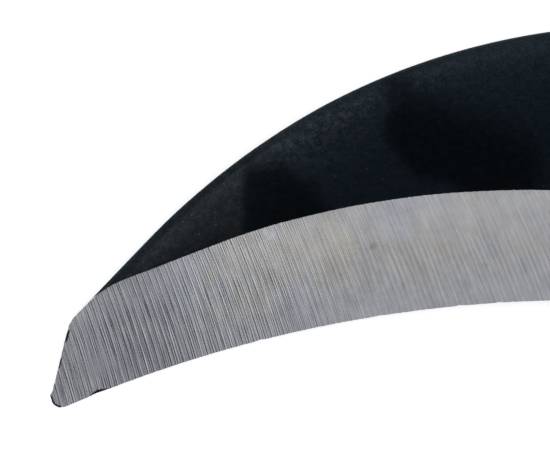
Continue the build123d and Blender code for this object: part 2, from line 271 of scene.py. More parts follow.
def rounding(depth):
    """How far a rounded edge has fallen at a depth in from the outline."""
    left = np.clip(FORGED_ROUND - depth, 0, FORGED_ROUND)
    return FORGED_ROUND - np.sqrt(FORGED_ROUND**2 - left**2)


def depth_inside(points, outline):
    """Each point's distance from the outline."""
    start, run = outline, np.roll(outline, -1, axis=0) - outline
    length2 = (run**2).sum(axis=1)
    depths = []
    for p in points:
        along = np.clip(((p - start) * run).sum(axis=1) / length2, 0, 1)
        gap = p - start - run * along[:, None]
        depths.append(sqrt((gap**2).sum(axis=1).min()))
    return np.array(depths)


def bevel_line_radius(x, y):
    """How far the bevel line is from its own centre, in the direction of a point.

    Hand grinding leaves ticks and a slow drift, and it ran a little wide where it started, at the nose.
    """
    angle = atan2(y - BEVEL_HEIGHT + BEVEL_RADIUS, x - BEVEL_CENTRE_X)
    tick = noise.noise(Vector((angle * 330, 0, 3.1)))
    drift = noise.noise(Vector((angle * 22, 0, 7.7)))
    along = (angle - NOSE_ANGLE) * BEVEL_RADIUS
    wide = NOSE_RUN_OUT * np.exp(-((along / (3.6 if along > 0 else 4.8)) ** 2))
    return BEVEL_RADIUS + 0.07 * tick + 0.05 * drift + wide + read_off(LINE_BOW, x)


def lip_share(x):
    """How wide the unground lip beside the tip is at x, as a share of its greatest width."""
    rise, fall = (x - LIP_START) / (LIP_PEAK - LIP_START), (LIP_END - x) / (LIP_END - LIP_PEAK)
    return max(0.0, min(rise, fall))


def worn_outline():
    """The outline with the cutting edge's teeth and nicks, the nose's ragged wall and its burrs."""
    outline = forging_outline(STEP)
    ahead, behind = np.roll(outline, -1, axis=0), np.roll(outline, 1, axis=0)
    run = ahead - behind
    inward = np.stack([-run[:, 1], run[:, 0]], axis=1) / np.hypot(run[:, 0], run[:, 1])[:, None]
    above_edge = above_arc(outline[:, 0], outline[:, 1], *EDGE_ARC)
    shift = np.zeros(len(outline))
    for i, (x, y) in enumerate(outline):
        if abs(above_edge[i]) < 0.02 and x < HEEL_X - 1:
            tooth = abs(noise.noise(Vector((x * 1.9, 0, 1.0))))
            nick = max(0, noise.noise(Vector((x * 0.45, 0, 5.0))) - 0.35)
            shift[i] = 0.10 * tooth - 0.06 + 0.35 * nick + 0.12 * lip_share(x)
        elif x < NOSE_TOP[0] + 0.5:
            knob = NOSE_KNOB * np.exp(-(((y - NOSE_KNOB_Y) / 0.30) ** 2))
            shift[i] = 0.07 * noise.noise(Vector((x * 2.0, y * 2.0, 2.0))) - knob
        elif y > NOSE_TOP[1] and x < SPINE_BOW[-1][0]:
            shift[i] = read_off(SPINE_BOW, x)
    return outline + inward * shift[:, None], inward


def bevel_line_points():
    """Points along the bevel line, from past the spine near the nose to past the heel."""
    centre = (BEVEL_CENTRE_X, BEVEL_HEIGHT - BEVEL_RADIUS)
    first, last = (
        angle_of((x, arc_height(x, *BEVEL_ARC)), centre)
        for x in (LINE_START_X, HEEL_X + LINE_PAST_HEEL)
    )
    count = int(radians(first - last) * BEVEL_RADIUS / BEVEL_LINE_STEP)
    points = []
    for i in range(count + 1):
        a = radians(first + (last - first) * i / count)
        direction = Vector((cos(a), sin(a)))
        on_arc = Vector(centre) + direction * BEVEL_RADIUS
        points.append(Vector(centre) + direction * bevel_line_radius(*on_arc))
    return points


def add_run(points, edges, run, closed=False):
    """Adds a run of points and the edges that join them."""
    start, count = len(points), len(run)
    edges += [(start + i, start + (i + 1) % count) for i in range(count if closed else count - 1)]
    points += [tuple(p) for p in run]


def grid_points(outline):
    """Evenly spread points inside the outline, clear of every line that the mesh follows."""
    low, high = outline.min(axis=0), outline.max(axis=0)
    rows = np.arange(low[1], high[1], GRID * ROW_SHARE)
    columns = np.arange(low[0], high[0], GRID)
    grid = np.array([(x + (k % 2) * GRID / 2, y) for k, y in enumerate(rows) for x in columns])
    grid = grid[is_inside(grid, outline)]
    x, y = grid[:, 0], grid[:, 1]
    keep = depth_inside(grid, outline) > RINGS[-1] + RING_GAP
    keep &= np.abs(above_arc(x, y, *BEVEL_ARC)) > LINE_GAP
    keep &= np.abs(above_arc(x, y, *EDGE_ARC) - BACK_STRIP) > LINE_GAP
    keep &= np.hypot(x - RIVET_X, y - RIVET_Y) - RIVET_RADIUS > LINE_GAP
    return grid[keep]


def blade_triangles():
    """The forging's plan cut into triangles: its points, faces and outline."""
    outline, inward = worn_outline()
    points, edges = [], []
    for depth in (0.0, *RINGS):
        add_run(points, edges, outline + inward * depth, closed=True)
    add_run(points, edges, bevel_line_points())
    add_run(points, edges, arc((EDGE_CENTRE_X, -EDGE_RADIUS), EDGE_RADIUS + BACK_STRIP, *STRIP_ENDS, STEP))
    add_run(points, edges, arc((RIVET_X, RIVET_Y), RIVET_RADIUS, 0, 360, HOLE_STEP)[:-1], closed=True)
    points += [tuple(p) for p in grid_points(outline)]
    result = delaunay_2d_cdt([Vector(p) for p in points], edges, [], 1, 1e-5)
    flat = np.array([tuple(v) for v in result[0]])
    middles = np.array([flat[list(f)].mean(axis=0) for f in result[2]])
    in_hole = np.hypot(middles[:, 0] - RIVET_X, middles[:, 1] - RIVET_Y) < RIVET_RADIUS
    keep = is_inside(middles, outline) & ~in_hole
    faces = [tuple(f) for f, kept in zip(result[2], keep) if kept]
    return flat, faces, outline


def is_inside(points, outline):
    """Which points lie inside a closed outline."""
    x, y = points[:, 0], points[:, 1]
    inside = np.zeros(len(points), bool)
    for (x0, y0), (x1, y1) in zip(outline, np.roll(outline, -1, axis=0)):
        if y0 != y1:
            crosses = (y0 > y) != (y1 > y)
            inside ^= crosses & (x < (x1 - x0) * (y - y0) / (y1 - y0) + x0)
    return inside


def blade_heights(flat, depth):
    """The heights of the forging's upper and lower faces at each point of its plan."""
    x, y = flat[:, 0], flat[:, 1]
    half = forged_half(x, y)
    in_blade = x < HEEL_X + 4
    fade = ease((depth - FORGED_ROUND) / 4)
    on_neck = ease((x - 55) / 25) * ease((y - HEAD_Y - 1) / 5)

    def forged(side, seed):
        """The upper (1) or lower (-1) face as it was forged."""
        uneven = FACE_DRIFT * wander(flat, 24, seed) + HAMMERED * on_neck * wander(flat, 7, seed + 20)
        return side * (half - rounding(depth)) + fade * uneven

    upper, lower = forged(1, 11.0), forged(-1, 12.0)
    radius = np.array([bevel_line_radius(*p) for p in flat])
    from_x, from_y = x - BEVEL_CENTRE_X, y - BEVEL_HEIGHT + BEVEL_RADIUS
    stretch = radius / np.hypot(from_x, from_y)
    line_y = BEVEL_HEIGHT - BEVEL_RADIUS + from_y * stretch
    line_part = bevel_part(BEVEL_CENTRE_X + from_x * stretch, line_y)
    bevel = EDGE_Z + bevel_part(x, y) / line_part * (BLADE_HALF - EDGE_Z)
    bevel = bevel + 0.006 * wander(flat, 9, 13.0)
    upper = np.where(in_blade, np.minimum(upper, bevel), upper)
    return upper, np.minimum(lower, upper - LEAST_THICKNESS)


def unground_rim(x, y):
    """How deep the black rim on the nose is: whole at the tip's corner and broken along the wall."""
    if y < NOSE_KNOB_Y and x < NOSE_BOTTOM_X + 2.4:
        return CORNER_RIM
    for low, high, depth in NOSE_RIMS:
        if low < y < high:
            return depth
    between_rims = NOSE_RIMS[1][1] <= y <= NOSE_RIMS[0][0]
    if between_rims and noise.noise(Vector((x, y * 2.6, 9.0))) > 0.0:
        return BROKEN_RIM
    return 0.0


def top_material(x, y, depth):
    """Which finish the upper face has at a point."""
    radius = hypot(x - BEVEL_CENTRE_X, y - BEVEL_HEIGHT + BEVEL_RADIUS)
    if x > HEEL_X + 3 or radius > bevel_line_radius(x, y):
        return LACQUER
    at_edge = above_arc(x, y, *EDGE_ARC) < 1
    if at_edge and LIP_START < x < LIP_END and depth < LIP_WIDTH * lip_share(x):
        return LACQUER
    if x < NOSE_TOP[0] + 1 and depth < unground_rim(x, y):
        return LACQUER
    return GROUND


def blade_mesh():
    """The whole forging as one closed mesh, with each face's finish."""
    flat, faces, outline = blade_triangles()
    depth = depth_inside(flat, outline)
    upper, lower = blade_heights(flat, depth)
    mesh = bmesh.new()
    tops = [mesh.verts.new(to_row((x, y, z), CANT)) for (x, y), z in zip(flat, upper)]
    bottoms = [mesh.verts.new(to_row((x, y, z), CANT)) for (x, y), z in zip(flat, lower)]
    sides = {(a, b) for face in faces for a, b in zip(face, face[1:] + face[:1])}
    for face in faces:
        x, y = flat[list(face)].mean(axis=0)
        top = mesh.faces.new([tops[i] for i in face])
        top.material_index = top_material(x, y, depth[list(face)].mean())
        bottom = mesh.faces.new([bottoms[i] for i in reversed(face)])
        in_strip = above_arc(x, y, *EDGE_ARC) < BACK_STRIP and x < HEEL_X + 0.5
        bottom.material_index = GROUND if in_strip else LACQUER
    for a, b in sorted(side for side in sides if side[::-1] not in sides):
        wall = mesh.faces.new([tops[b], tops[a], bottoms[a], bottoms[b]])
        x, y = (flat[a] + flat[b]) / 2
        above_edge = above_arc(x, y, *EDGE_ARC)
        is_edge = abs(above_edge) < 0.4 and NOSE_BOTTOM_X + 2 < x < HEEL_X
        is_bare_nose = x < NOSE_TOP[0] + 1 and y < NOSE_TOP[1] and not unground_rim(x, y)
        wall.material_index = GROUND if is_edge or is_bare_nose else LACQUER
    for vert in [v for v in mesh.verts if not v.link_faces]:
        mesh.verts.remove(vert)
    return mesh


def shade(mesh):
    """Smooth shading with crisp edges at sharp corners and where two finishes meet."""
    mesh.normal_update()
    for face in mesh.faces:
        face.smooth = True
    for edge in mesh.edges:
        if len(edge.link_faces) == 2:
            first, second = edge.link_faces
            is_corner = edge.calc_face_angle(0) > SHARP
            edge.smooth = not (is_corner or first.material_index != second.material_index)


def make_blade(lacquer, ground):
    """The forging, in its two finishes."""
    mesh = blade_mesh()
    shade(mesh)
    data = bpy.data.meshes.new("blade_forging")
    mesh.to_mesh(data)
    mesh.free()
    data.materials.append(lacquer)
    data.materials.append(ground)
    blade = bpy.data.objects.new("blade_forging", data)
    bpy.context.scene.collection.objects.link(blade)
    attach(blade, "root")
    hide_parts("blade")


# ---------------- material tools


class Level:
    """A number that a material works out at each point of a surface, for use in sums."""

    def __init__(self, paint, socket):
        self.paint, self.socket = paint, socket

    def __add__(self, other):
        return self.paint.math("ADD", self, other)

    def __mul__(self, other):
        return self.paint.math("MULTIPLY", self, other)

    def __sub__(self, other):
        return self.paint.math("SUBTRACT", self, other)

    def __rsub__(self, other):
        return self.paint.math("SUBTRACT", other, self)

    def __truediv__(self, other):
        return self.paint.math("DIVIDE", self, other)


class Paint:
    """A node material, built by short calls. Colours are linear."""

    def __init__(self, name, roughness=0.5, metallic=0.0, specular=0.5):
        """A new material with a plain shader."""
        self.material = bpy.data.materials.new(name)
        self.material.use_nodes = True
        self.tree = self.material.node_tree
        self.shader = next(n for n in self.tree.nodes if n.type == "BSDF_PRINCIPLED")
        self.shader.inputs["Roughness"].default_value = roughness
        self.shader.inputs["Metallic"].default_value = metallic
        self.shader.inputs["Specular IOR Level"].default_value = specular

    def put(self, socket, value):
        """Links a socket to a node's output, or sets it to a plain value."""
        value = getattr(value, "socket", value)
        if isinstance(value, bpy.types.NodeSocket):
            self.tree.links.new(value, socket)
        else:
            socket.default_value = value

    def node(self, kind, inputs, output=0, **settings):
        """One of the outputs of a new node, whose inputs are given by name or number."""
        made = self.tree.nodes.new(kind)
        for name, value in settings.items():
            setattr(made, name, value)
        for name, value in inputs.items():
            self.put(made.inputs[name], value)
        return Level(self, made.outputs[output])

    def math(self, operation, a, b=0.0, c=0.0, clamp=False):
        """One sum. clamp keeps its result between 0 and 1."""
        return self.node("ShaderNodeMath", {0: a, 1: b, 2: c}, operation=operation, use_clamp=clamp)

    def larger(self, a, b):
        """The larger of a and b."""
        return self.math("MAXIMUM", a, b)

    def split(self, vector):
        """The x, y and z of a vector."""
        made = self.tree.nodes.new("ShaderNodeSeparateXYZ")
        self.put(made.inputs[0], vector)
        return [Level(self, output) for output in made.outputs]

    def drawn(self, cant=0.0):
        """The x, y and z of a point in the smith's drawing, in millimetres, with a cant undone."""
        split = self.split(self.node("ShaderNodeTexCoord", {}, output="Object"))
        stretch = 1 / (MM * cos(cant))
        x = split[0] * stretch + (AXIS_X - (ORIGIN.x + AXIS_X) / cos(cant))
        return x, split[1] * (1 / MM) - ORIGIN.y, split[2] * (1 / MM) - ORIGIN.z

    def vector(self, x, y, z=0.0):
        """A vector made of three numbers."""
        return self.node("ShaderNodeCombineXYZ", {0: x, 1: y, 2: z})

    def noise(self, vector, scale=1.0, detail=2.0, roughness=0.5, distortion=0.0):
        """Smooth noise, mostly from 0.3 to 0.7, with features about 1 / scale across."""
        inputs = {"Vector": vector, "Scale": scale, "Detail": detail}
        inputs.update({"Roughness": roughness, "Distortion": distortion})
        return self.node("ShaderNodeTexNoise", inputs)

    def spread(self, value, low, high, to_low=0.0, to_high=1.0, smooth=False):
        """A value mapped from one range to another, clamped."""
        return self.node(
            "ShaderNodeMapRange",
            {"Value": value, "From Min": low, "From Max": high, "To Min": to_low, "To Max": to_high},
            interpolation_type="SMOOTHSTEP" if smooth else "LINEAR",
        )

    def ramp(self, value, stops):
        """A value read off a line through (position, level) stops, with soft corners."""
        low, high = stops[0][0], stops[-1][0]
        top = max(level for _, level in stops)
        made = self.tree.nodes.new("ShaderNodeFloatCurve")
        self.put(made.inputs["Value"], self.spread(value, low, high))
        curve = made.mapping.curves[0]
        for position, level in stops[1:-1]:
            curve.points.new((position - low) / (high - low), level / top)
        curve.points[0].location = (0.0, stops[0][1] / top)
        curve.points[-1].location = (1.0, stops[-1][1] / top)
        made.mapping.update()
        return Level(self, made.outputs[0]) * top

    def mix(self, share, a, b, blend="MIX"):
        """Colour a with a share of colour b over it, or a blended with b in another way."""
        made = self.tree.nodes.new("ShaderNodeMix")
        made.data_type, made.blend_type = "RGBA", blend
        for index, value in ((0, share), (6, a), (7, b)):  # 6 and 7 are the node's two colours
            if isinstance(value, tuple):
                value = (*value[:3], 1.0)
            self.put(made.inputs[index], value)
        return Level(self, made.outputs[2])

    def distance(self, vector, centre):
        """How far a point is from a centre."""
        inputs = {0: vector, 1: centre}
        return self.node("ShaderNodeVectorMath", inputs, output="Value", operation="DISTANCE")

    def above(self, place, centre_x, radius, top):
        """How far a place in the drawing is outside an arc whose highest point is at y = top."""
        return self.distance(place, (centre_x, top - radius, 0)) - radius

    def facing(self):
        """The x, y and z of the surface's direction."""
        return self.split(self.node("ShaderNodeTexCoord", {}, output="Normal"))

    def specks(self, vector, scale, radius, share=0.5):
        """Round specks, one in some of the cells of a scattered pattern."""
        cells = self.tree.nodes.new("ShaderNodeTexVoronoi")
        self.put(cells.inputs["Vector"], vector)
        self.put(cells.inputs["Scale"], scale)
        near = self.spread(cells.outputs["Distance"], radius * 0.4, radius, 1.0, 0.0)
        split = self.tree.nodes.new("ShaderNodeSeparateColor")
        self.put(split.inputs[0], cells.outputs["Color"])
        chosen = self.spread(split.outputs[0], 1 - share, 1.0)
        return near * chosen

    def bump(self, height, depth, strength=1.0, normal=None):
        """Raises the surface by a height of 0 to 1 times a depth in metres, on top of another bump."""
        inputs = {"Height": height, "Distance": depth, "Strength": strength}
        if normal is not None:
            inputs["Normal"] = normal
        return self.node("ShaderNodeBump", inputs)

    def finish(self, colour=None, roughness=None, normal=None):
        """Links what is given to the shader and returns the material."""
        for name, value in (("Base Color", colour), ("Roughness", roughness), ("Normal", normal)):
            if value is not None:
                self.put(self.shader.inputs[name], value)
        return self.material


# ---------------- steel of the blade

# The grinding lines: how far one runs along x for each millimetre down the bevel, how much more it leans
# for each millimetre towards the neck, and how gently it bends
GRIND_LEAN, GRIND_TURN, GRIND_BEND = 0.466, 0.0016, 290.0

# The passes of the stone: a place along x, how many there are to a millimetre there, and how that grows
PASS_X, PASSES, PASS_GROWTH = -48.3, 0.983, 0.00144

# One, two and three lines to a pass: how strong each kind is along x
ONE_LINE = ((-95, 0.16), (-86, 0.20), (-77, 0.38), (-63, 0.23), (-50, 0.20), (-36, 0.15), (90, 0.19))
TWO_LINES = ((-95, 0.24), (-77, 0.26), (-63, 0.36), (-50, 0.15), (-36, 0.07), (90, 0.07))
THREE_LINES = ((-95, 0.30), (-77, 0.46), (-63, 0.48), (-50, 0.30), (-38, 0.10), (90, 0.04))

# Each kind: lines to a pass, how far they slip sideways, how unevenly they fade, and their strength
WAVES = ((1, 1.8, 1.625, ONE_LINE), (2, 5.0, 2.5, TWO_LINES), (3, 5.0, 3.25, THREE_LINES))

# How strong the first kind is above the edge, and how strong the whole relief is
ONE_LINE_FADE = ((0, 0.6), (5, 0.85), (9, 1.0), (13, 0.5), (17, 0.4))
RELIEF_FADE = ((0, 1.0), (10, 1.0), (13, 0.88), (17, 0.78))

# Scratches between them: width, length, seed and weight, and their strength along x
SCRATCHES = ((0.7, 18.0, 5.0, 0.25), (0.3, 9.0, 9.0, 0.75), (0.12, 4.0, 13.0, 1.25))
SCRATCH_STRENGTH = ((-95, 0.9), (-60, 0.95), (-52, 0.70), (-42, 0.56), (-20, 0.42), (90, 0.6))
BROAD_SCRATCHES = ((-95, 0.2), (-50, 0.24), (-30, 0.46), (90, 0.46))

# How strong the grain and the smears are along x
GRAIN = ((-95, 1.3), (-60, 1.45), (-50, 1.0), (-38, 0.85), (-26, 0.3), (90, 0.3))
SMEARS = ((-95, 0.16), (-55, 0.18), (-38, 0.36), (-20, 0.26), (90, 0.26))

# How bright the bevel is along x, and from the edge up in three parts of it: painted reflection, darker
# towards the tip and lighter higher up, standing in for the light that the ground face reflects
BEVEL_PAINTED_REFLECTION = ((-92, 0.332), (-77, 0.335), (-65, 0.45), (-52, 0.51), (-38, 0.517), (90, 0.517))
TIP_PAINTED_REFLECTION = ((0, 1.06), (5, 1.03), (9, 1.03), (13, 1.09), (16, 1.02))
MIDDLE_PAINTED_REFLECTION = ((0, 0.87), (5, 0.94), (9, 1.01), (13, 1.16), (16, 1.20))
NECK_PAINTED_REFLECTION = ((0, 0.97), (5, 0.97), (9, 1.0), (13, 1.08), (16, 1.14))

# How warm its colour is along x and from the edge up, and the two ends of that colour
BEVEL_WARMTH = ((-95, 0.12), (-75, 0.15), (-64, 0.5), (-50, 0.62), (-36, 0.5), (90, 0.45))
WARMTH_ABOVE_EDGE = ((0, 0.3), (4, 0.6), (8, 1.0), (16, 1.0))
COOL_STEEL, WARM_STEEL = (0.950, 0.985, 1.090), (1.032, 1.0, 0.95)

# Faint stains in the steel: x, y, reach, and how much warmer (+) or cooler (-) each is
STEEL_STAINS = (
    (-71.0, 0.5, 7.0, -0.5), (-84.0, -8.5, 5.0, -0.4), (-34.0, 14.5, 6.0, -0.4), (-49.5, -0.5, 7.0, -0.5),
    (-44.8, 7.8, 6.0, 0.55), (-28.0, 8.0, 7.0, 0.3), (-57.0, 11.0, 6.0, 0.2), (-55.3, 11.2, 1.8, -0.6),
    (-63.5, 1.5, 2.4, -0.6), (-69.3, -0.4, 2.4, -0.6), (-80.8, -8.4, 2.4, -0.6),
)

# Small dark pits (-) and bright nicks (+) in the steel: x, y and strength
STEEL_MARKS = (
    (-38.1, 8.9, -0.24), (-37.6, 9.2, -0.24), (-36.7, 7.0, -0.24), (-18.9, 5.8, -0.24),
    (-41.2, 1.4, 0.26), (-55.8, 11.3, 0.22), (-54.9, 10.7, 0.22), (-64.8, 1.2, 0.22), (-63.9, 1.9, 0.22),
)
RUBBED = (-83.2, -10.8, 0.0)  # a small patch near the tip where the lines are rubbed away


def painted_reflection_by_height(paint, x, above_edge):
    """Painted reflection: how bright the bevel is made from the edge up, even at the tip and towards the
    neck, uneven between.
    """
    at_tip, in_middle, at_neck = (paint.ramp(above_edge, t) for t in (TIP_PAINTED_REFLECTION, MIDDLE_PAINTED_REFLECTION, NECK_PAINTED_REFLECTION))
    to_middle = paint.spread(x, -82.0, -70.0, smooth=True)
    to_neck = paint.spread(x, -54.0, -36.0, smooth=True)
    tone = (in_middle - at_tip) * to_middle + at_tip
    return (at_neck - in_middle) * to_neck + tone


def grinding(paint, x, y, above_edge):
    """The relief of the grinding lines: the lines of each pass, scratches, grain, smears and marks."""
    place = paint.vector(x, y)
    from_middle = above_edge - BEVEL_HEIGHT / 2
    bend = from_middle * from_middle / GRIND_BEND
    lean = x * GRIND_TURN + GRIND_LEAN
    across = y * lean + x + bend

    def streaks(width, length, seed):
        """Uneven lines about one width wide and a few lengths long, from -0.5 to 0.5."""
        turns = (across / width, above_edge / length)
        return paint.noise(paint.vector(*turns, seed), detail=0.0) - 0.5

    from_pass = across - PASS_X
    passes = from_pass * (from_pass * PASS_GROWTH + PASSES)
    passes += streaks(4.0, 40.0, 3.0) * 0.4
    relief = streaks(2.2, 30.0, 1.0) * paint.ramp(x, BROAD_SCRATCHES)
    for width, length, seed, weight in SCRATCHES:
        relief += streaks(width, length, seed) * weight
    relief *= paint.ramp(x, SCRATCH_STRENGTH)
    grain = paint.noise(place, 4.6, detail=1.0) - 0.5
    relief += grain * paint.ramp(x, GRAIN)
    smears = paint.noise(place, 0.9, detail=2.0) - 0.5
    relief += smears * paint.ramp(x, SMEARS)
    for lines, slipping, uneven, strength in WAVES:
        slip = streaks(1.6, 16.0, 20.0 + lines) * slipping
        wave = paint.math("SINE", passes * (2 * pi * lines) + slip)
        wave *= paint.ramp(x, strength)
        if lines == 1:
            wave *= paint.ramp(above_edge, ONE_LINE_FADE)
        fading = streaks(1.1, 5.0, 30.0 + lines) * uneven + 1.0
        relief += wave * fading
    relief *= paint.ramp(above_edge, RELIEF_FADE)
    rubbed = paint.spread(paint.distance(place, RUBBED), 0.5, 3.6, 1.0, 0.0, smooth=True)
    relief *= 1.0 - rubbed * 0.6
    relief += rubbed * 0.09
    for mark_x, mark_y, strength in STEEL_MARKS:
        away = grain * 1.1 + paint.distance(place, (mark_x, mark_y, 0))
        relief += paint.spread(away, 0.2, 0.75, strength, 0.0)
    return relief


def steel_warmth(paint, x, y, above_edge):
    """How warm the bevel's colour is, from 0 to 1."""
    place = paint.vector(x, y)
    patches = paint.noise(place, 0.2, detail=3.0) - 0.5
    warmth = patches * 1.2 + paint.ramp(x, BEVEL_WARMTH)
    ragged = paint.noise(place, 0.5, detail=4.0) * 8.0 - 4.0
    for stain_x, stain_y, reach, strength in STEEL_STAINS:
        away = paint.distance(place, (stain_x, stain_y, 0)) + ragged
        warmth += paint.spread(away, 0.0, reach, strength, 0.0, smooth=True)
    return paint.math("MULTIPLY", warmth, paint.ramp(above_edge, WARMTH_ABOVE_EDGE), clamp=True)


def ground_steel():
    """The bright bevel: crisp grinding lines at the tip, fainter ones further on, and faint stains, with
    painted reflection in its brightness and painted shade in its lines.
    """
    paint = Paint("ground_steel", metallic=1.0)
    x, y, _ = paint.drawn(CANT)
    above_edge = paint.above(paint.vector(x, y), *EDGE_ARC)
    relief = grinding(paint, x, y, above_edge)
    # painted reflection: the bevel's colour is darkened towards the tip and lightened higher up
    tone = paint.ramp(x, BEVEL_PAINTED_REFLECTION) * painted_reflection_by_height(paint, x, above_edge)
    cloud = paint.noise(paint.vector(x, y), 0.3, detail=3.0)
    tone *= paint.spread(cloud, 0.3, 0.7, 0.92, 1.08)
    # the grinding relief darkens the colour as well as bumping the surface: real marks, with painted shade
    # in the grooves of the lines
    tone *= paint.larger(relief + 1.0, 0.12)
    tint = paint.mix(steel_warmth(paint, x, y, above_edge), COOL_STEEL, WARM_STEEL)
    colour = paint.mix(1.0, tint, tone, blend="MULTIPLY")
    roughness = paint.spread(relief, -0.5, 0.5, 0.42, 0.32)
    normal = paint.bump(relief, 0.000006, strength=0.6)
    return paint.finish(colour, roughness, normal)


# ---------------- black lacquer

DARK_REFLECTION_LEFT = (-56.7, 10.8, 0.0)  # the middles of the two painted dark reflections: deep black patches that stand in for the lacquer reflecting less light there
DARK_REFLECTION_RIGHT = (-26.7, 28.7)
DARK_REFLECTION_NECK = (-33.4, 34.6, 0.0)  # where the right-hand painted dark reflection runs up to the spine
DARK_REFLECTION_SLOPE = 0.366  # how steeply the top of the right-hand painted dark reflection falls along x
DARK_REFLECTION_SHARE = 0.20  # how much of the lacquer's colour is left in the painted dark reflections

LACQUER_DEPTH = 1.32  # how much colour the lacquer has, all over
TIP_LACQUER, NECK_LACQUER = (0.0092, 0.0119, 0.0140), (0.0062, 0.0110, 0.0165)
SPINE_LACQUER = (0.0082, 0.0119, 0.0152)
RUBBED_LACQUER, DUST, FINE_DUST = (0.036, 0.039, 0.040), (0.038, 0.047, 0.050), (0.056, 0.063, 0.065)

# How bright it is along x and below the spine, and the dark groove beside the spine
LACQUER_TONE = (
    (-90, 0.50), (-66, 0.52), (-60, 0.56), (-50, 0.49), (-40, 0.43), (-30, 0.46), (-10, 0.48), (110, 0.5),
)
SPINE_RIM = (
    (0.0, 1.7), (0.4, 1.6), (1.1, 1.6), (1.9, 1.6), (3.3, 1.25), (5.0, 0.95),
    (6.5, 0.85), (8.0, 0.78), (10.0, 0.70), (16.0, 0.56), (30.0, 0.56),
)
GROOVE_DEPTH = ((0.0, 0.0), (0.5, 1.0), (1.1, 1.0), (1.5, 0.0), (8.0, 0.0))
GROOVE_ALONG = ((-95, 0.0), (-78, 0.2), (-66, 0.35), (-58, 0.35), (-50, 0.0), (90, 0.0))

# How much of it is rubbed grey, below the spine and along x
RUBBED_DEPTH = (
    (0.0, 0.3), (1.0, 0.3), (1.8, 1.0), (3.0, 0.85), (5.0, 0.5), (8.0, 0.22), (12.0, 0.04), (20.0, 0.0),
)
RUBBED_ALONG = ((-95, 0.5), (-64, 0.7), (-56, 1.0), (-42, 1.0), (-36, 0.5), (90, 0.5))


def painted_dark_reflections(paint, x, y):
    """The two painted dark reflections on the ground side, deep black patches: 1 inside them and 0 outside.
    """
    place = paint.vector(x, y)
    ragged = paint.noise(place, 0.35, detail=3.0) * 3.0 - 1.5

    def cloud(spot, centre, inner, outer):
        """1 inside a soft round patch and 0 outside."""
        reach = paint.distance(spot, centre) + ragged
        return paint.spread(reach, inner, outer, 1.0, 0.0, smooth=True)

    left = cloud(place, DARK_REFLECTION_LEFT, 9.8, 14.2)
    left *= paint.spread(x, -60.6, -58.3, smooth=True)
    from_right = x - DARK_REFLECTION_RIGHT[0]
    towards_tip = paint.math("MINIMUM", from_right, 0.0)
    sunk = paint.larger(from_right, 0.0) * 0.5 + y - DARK_REFLECTION_RIGHT[1]
    right = cloud(paint.vector(towards_tip, sunk), (0, 0, 0), 7.3, 10.3)
    above = x * DARK_REFLECTION_SLOPE + y
    right *= paint.spread(above, 18.0, 28.5, 1.0, 0.0, smooth=True)
    right *= paint.spread(x, -13.0, -6.0, 1.0, 0.0, smooth=True)
    neck = cloud(place, DARK_REFLECTION_NECK, 1.0, 4.4) * 0.72
    deep = paint.larger(left, paint.larger(right, neck))
    # only faces turned up carry the painted dark reflections
    return deep * paint.spread(paint.facing()[2], 0.0, 0.2)


def lacquer_tone(paint, x, y, below_spine, smudge):
    """How bright the lacquer is outside its clouds."""
    place = paint.vector(x, y)
    groove = paint.ramp(below_spine, GROOVE_DEPTH) * paint.ramp(x, GROOVE_ALONG)
    rim = paint.ramp(below_spine, SPINE_RIM) * (1.0 - groove)
    tone = paint.ramp(x, LACQUER_TONE) * rim
    tone *= paint.spread(smudge, 0.35, 0.7, 0.85, 1.3)
    grit = paint.noise(place, 3.2, detail=2.0, roughness=0.6)
    tone *= paint.spread(grit, 0.3, 0.7, 0.57, 1.43)
    above_bevel = paint.above(place, *BEVEL_ARC)
    shaded = paint.spread(above_bevel, 0.0, 2.6, 0.38, 0.0)
    shaded *= paint.spread(x, -64.0, -56.0, 1.0, 0.0)
    return tone * (1.0 - shaded)


